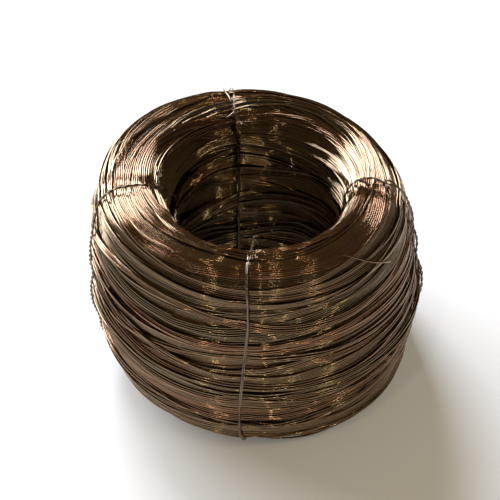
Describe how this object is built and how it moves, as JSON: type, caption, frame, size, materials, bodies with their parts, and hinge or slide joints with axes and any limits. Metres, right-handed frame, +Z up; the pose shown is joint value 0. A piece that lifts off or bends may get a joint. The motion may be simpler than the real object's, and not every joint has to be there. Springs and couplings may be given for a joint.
{
  "type": "coil of bronze wire",
  "caption": "Upright ring-shaped coil of thin bronze wire with a round open bore, held by four twisted binding wires, ready to be set over a pay-off spindle.",
  "frame": {"origin": "on the coil's axis, at the level of the floor it lies on", "axes": "+Z up along the bore axis, front binding wire towards -Y"},
  "size_m": [0.25, 0.25, 0.1742],
  "materials": {
    "wire": "satin",
    "tie_wire": "satin"
  },
  "bodies": {
    "root": {"wire_coil": "wire", "tie_front": "tie_wire", "tie_right": "tie_wire", "tie_back": "tie_wire", "tie_left": "tie_wire"}
  },
  "joints": []
}
